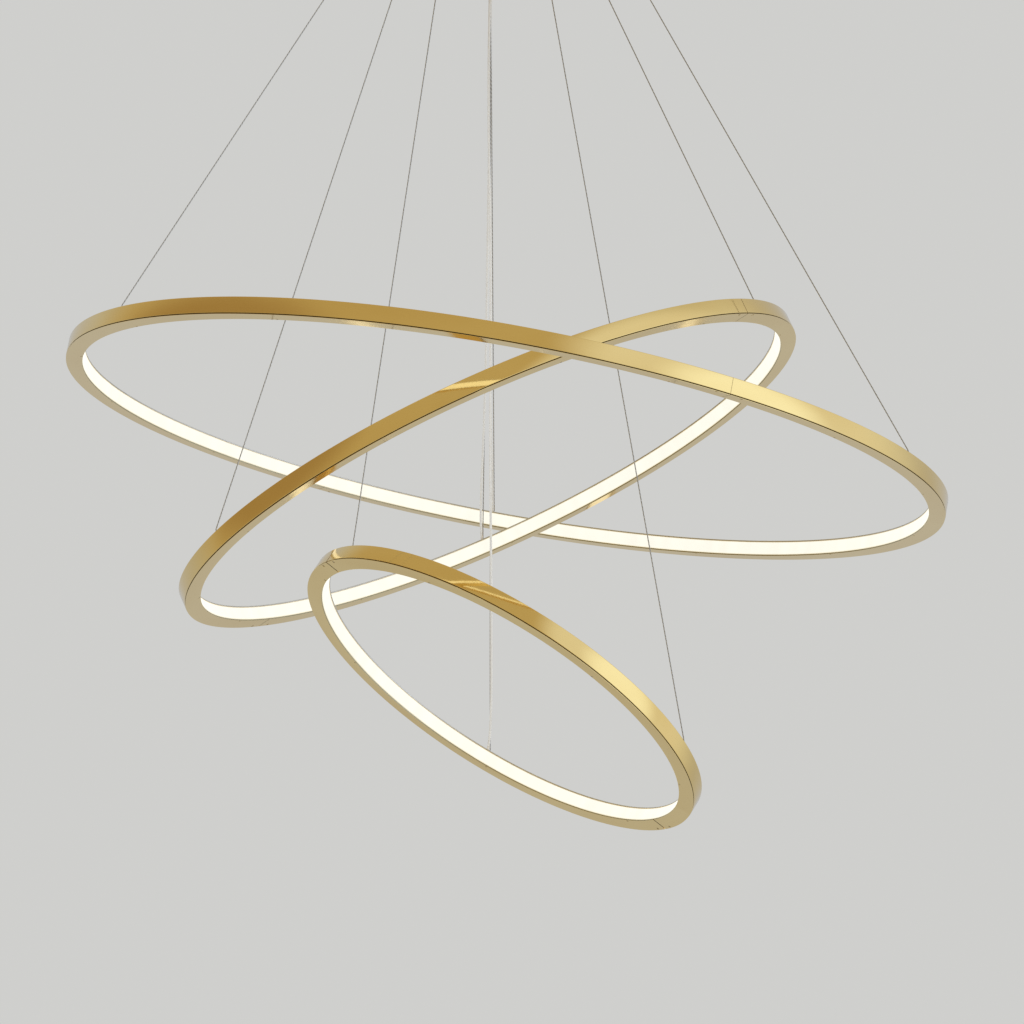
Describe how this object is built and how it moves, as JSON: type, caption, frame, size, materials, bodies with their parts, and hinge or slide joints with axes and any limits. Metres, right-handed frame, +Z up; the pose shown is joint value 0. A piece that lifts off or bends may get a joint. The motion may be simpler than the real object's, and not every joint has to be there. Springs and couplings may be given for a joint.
{
  "type": "led ring chandelier",
  "caption": "Ceiling chandelier of slim gold hoops, lit on their inner faces, hung tilted one inside another on steel wires from a round canopy.",
  "frame": {"origin": "centre of the canopy's ceiling face, which is also the centre of its screw holes", "axes": "+Z up into the ceiling, -Y towards the viewer of the picture, +X to the viewer's right"},
  "size_m": [0.7894, 0.7997, 0.8534],
  "materials": {
    "gold_channel": "polished, gold anodised",
    "gold_canopy": "polished, gold plated",
    "gold_fittings": "polished",
    "nickel_nozzle": "nickel plated",
    "lit_diffuser": "milky, lit warm white from inside",
    "led_board": "white, with a yellow phosphor line",
    "steel_wire": "twisted strands",
    "white_cord": "satin white jacket",
    "white_rubber": "matt",
    "gland_plastic": "satin",
    "zinc_steel": "zinc plated",
    "driver_case": "fine grain",
    "terminal_plastic": "satin"
  },
  "bodies": {
    "canopy": {"canopy_cover": "gold_canopy", "mounting_plate": "zinc_steel", "cover_screws": "gold_canopy", "driver_1": "driver_case", "driver_2": "driver_case", "driver_3": "driver_case", "driver_screws": "zinc_steel", "terminal_block": "terminal_plastic", "gripper_bodies": "gold_fittings", "gripper_nuts": "zinc_steel", "cord_glands": "gland_plastic", "gland_nuts": "gland_plastic"},
    "ring_1": {"ring_1_channel_a": "gold_channel", "ring_1_channel_b": "gold_channel", "ring_1_joiner_keys": "zinc_steel", "ring_1_joiner_screws": "zinc_steel", "ring_1_led_strip": "led_board", "ring_1_diffuser": "lit_diffuser", "ring_1_wire_sockets": "gold_fittings", "ring_1_cord_grommet": "white_rubber", "ring_1_power_cord": "white_cord", "ring_1_retaining_screws": "zinc_steel", "ring_1_wire_far": "steel_wire", "ring_1_wire_left": "steel_wire", "ring_1_wire_right": "steel_wire"},
    "ring_2": {"ring_2_channel_a": "gold_channel", "ring_2_channel_b": "gold_channel", "ring_2_joiner_keys": "zinc_steel", "ring_2_joiner_screws": "zinc_steel", "ring_2_led_strip": "led_board", "ring_2_diffuser": "lit_diffuser", "ring_2_wire_sockets": "gold_fittings", "ring_2_cord_grommet": "white_rubber", "ring_2_power_cord": "white_cord", "ring_2_retaining_screws": "zinc_steel", "ring_2_wire_far": "steel_wire", "ring_2_wire_left": "steel_wire", "ring_2_wire_right": "steel_wire"},
    "ring_3": {"ring_3_channel_a": "gold_channel", "ring_3_channel_b": "gold_channel", "ring_3_joiner_keys": "zinc_steel", "ring_3_joiner_screws": "zinc_steel", "ring_3_led_strip": "led_board", "ring_3_diffuser": "lit_diffuser", "ring_3_wire_sockets": "gold_fittings", "ring_3_cord_grommet": "white_rubber", "ring_3_power_cord": "white_cord", "ring_3_retaining_screws": "zinc_steel", "ring_3_wire_far": "steel_wire", "ring_3_wire_left": "steel_wire", "ring_3_wire_right": "steel_wire"},
    "ring_1_nozzle_far": {"ring_1_nozzle_far": "nickel_nozzle"},
    "ring_1_nozzle_left": {"ring_1_nozzle_left": "nickel_nozzle"},
    "ring_1_nozzle_right": {"ring_1_nozzle_right": "nickel_nozzle"},
    "ring_2_nozzle_far": {"ring_2_nozzle_far": "nickel_nozzle"},
    "ring_2_nozzle_left": {"ring_2_nozzle_left": "nickel_nozzle"},
    "ring_2_nozzle_right": {"ring_2_nozzle_right": "nickel_nozzle"},
    "ring_3_nozzle_far": {"ring_3_nozzle_far": "nickel_nozzle"},
    "ring_3_nozzle_left": {"ring_3_nozzle_left": "nickel_nozzle"},
    "ring_3_nozzle_right": {"ring_3_nozzle_right": "nickel_nozzle"}
  },
  "joints": [
    {"name": "ring_1_height", "type": "slide", "parent": "canopy", "child": "ring_1", "axis": [0, 0, 1], "range_m": [-0.1, 0.15], "deforming": ["ring_1_wire_far", "ring_1_wire_left", "ring_1_wire_right", "ring_1_power_cord"]},
    {"name": "ring_2_height", "type": "slide", "parent": "canopy", "child": "ring_2", "axis": [0, 0, 1], "range_m": [-0.15, 0.06], "deforming": ["ring_2_wire_far", "ring_2_wire_left", "ring_2_wire_right", "ring_2_power_cord"]},
    {"name": "ring_3_height", "type": "slide", "parent": "canopy", "child": "ring_3", "axis": [0, 0, 1], "range_m": [-0.15, 0.15], "deforming": ["ring_3_wire_far", "ring_3_wire_left", "ring_3_wire_right", "ring_3_power_cord"]},
    {"name": "ring_1_release_far", "type": "slide", "parent": "canopy", "child": "ring_1_nozzle_far", "axis": [0, 0, 1], "range_m": [0, 0.002], "stiffness_N_per_m": 1500},
    {"name": "ring_1_release_left", "type": "slide", "parent": "canopy", "child": "ring_1_nozzle_left", "axis": [0, 0, 1], "range_m": [0, 0.002], "stiffness_N_per_m": 1500},
    {"name": "ring_1_release_right", "type": "slide", "parent": "canopy", "child": "ring_1_nozzle_right", "axis": [0, 0, 1], "range_m": [0, 0.002], "stiffness_N_per_m": 1500},
    {"name": "ring_2_release_far", "type": "slide", "parent": "canopy", "child": "ring_2_nozzle_far", "axis": [0, 0, 1], "range_m": [0, 0.002], "stiffness_N_per_m": 1500},
    {"name": "ring_2_release_left", "type": "slide", "parent": "canopy", "child": "ring_2_nozzle_left", "axis": [0, 0, 1], "range_m": [0, 0.002], "stiffness_N_per_m": 1500},
    {"name": "ring_2_release_right", "type": "slide", "parent": "canopy", "child": "ring_2_nozzle_right", "axis": [0, 0, 1], "range_m": [0, 0.002], "stiffness_N_per_m": 1500},
    {"name": "ring_3_release_far", "type": "slide", "parent": "canopy", "child": "ring_3_nozzle_far", "axis": [0, 0, 1], "range_m": [0, 0.002], "stiffness_N_per_m": 1500},
    {"name": "ring_3_release_left", "type": "slide", "parent": "canopy", "child": "ring_3_nozzle_left", "axis": [0, 0, 1], "range_m": [0, 0.002], "stiffness_N_per_m": 1500},
    {"name": "ring_3_release_right", "type": "slide", "parent": "canopy", "child": "ring_3_nozzle_right", "axis": [0, 0, 1], "range_m": [0, 0.002], "stiffness_N_per_m": 1500}
  ]
}
